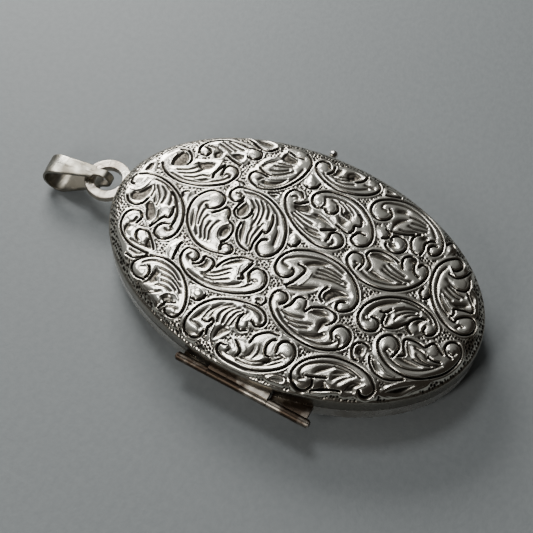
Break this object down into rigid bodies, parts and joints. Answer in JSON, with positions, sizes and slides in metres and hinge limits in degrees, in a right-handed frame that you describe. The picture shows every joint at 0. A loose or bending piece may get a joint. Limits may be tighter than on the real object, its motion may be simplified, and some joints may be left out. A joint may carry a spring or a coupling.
{
  "type": "oval hinged locket",
  "caption": "Oval hinged locket with a scroll-engraved front cover, a push catch, a pendant ring and a swinging strap bail for a chain.",
  "frame": {"origin": "middle of the flat back face, which the closed locket lies on", "axes": "+Z out through the engraved front, +Y towards the pendant ring and bail, hinge on the -X side, catch button on the +X side"},
  "size_m": [0.041, 0.068, 0.009],
  "materials": {
    "silver": "worn polished silver, tarnished in the joints",
    "engraved_silver": "engraved silver, blackened in the recesses",
    "pin": "drawn wire",
    "spring": "rolled spring strip",
    "card": "plain aged card",
    "window": "clear"
  },
  "bodies": {
    "back": {"back_cover": "silver", "snap_rim": "silver", "back_picture_seat": "silver", "back_picture_card": "card", "back_picture_window": "window", "back_picture_frame": "silver", "hinge_knuckle_top": "silver", "hinge_knuckle_bottom": "silver", "hinge_bearer_top": "silver", "hinge_bearer_bottom": "silver", "hinge_pin": "pin", "catch_spring_block": "silver", "catch_rivet": "silver", "pendant_ring": "silver"},
    "front": {"front_cover": "engraved_silver", "front_picture_seat": "silver", "front_picture_card": "card", "front_picture_window": "window", "front_picture_frame": "silver", "hinge_knuckle_middle": "silver", "hinge_bearer_middle": "silver", "catch_keeper": "silver"},
    "catch": {"catch_spring": "spring", "catch_nose": "silver", "catch_button": "silver"},
    "bail": {"bail": "silver"}
  },
  "joints": [
    {"name": "cover_hinge", "type": "hinge", "parent": "back", "child": "front", "pos_m": [-0.01915, -0.003, 0.0046], "axis": [0, -1, 0], "range_deg": [0, 180]},
    {"name": "catch_press", "type": "hinge", "parent": "back", "child": "catch", "pos_m": [0.01575, -0.0075, 0.00405], "axis": [0, 0, 1], "range_deg": [0, 1.9], "stiffness_Nm_per_rad": 0.3},
    {"name": "bail_swing", "type": "hinge", "parent": "back", "child": "bail", "pos_m": [-0.00071, 0.03313, 0.0039], "axis": [0.9848, 0.1736, 0], "range_deg": [-105, 135]}
  ]
}
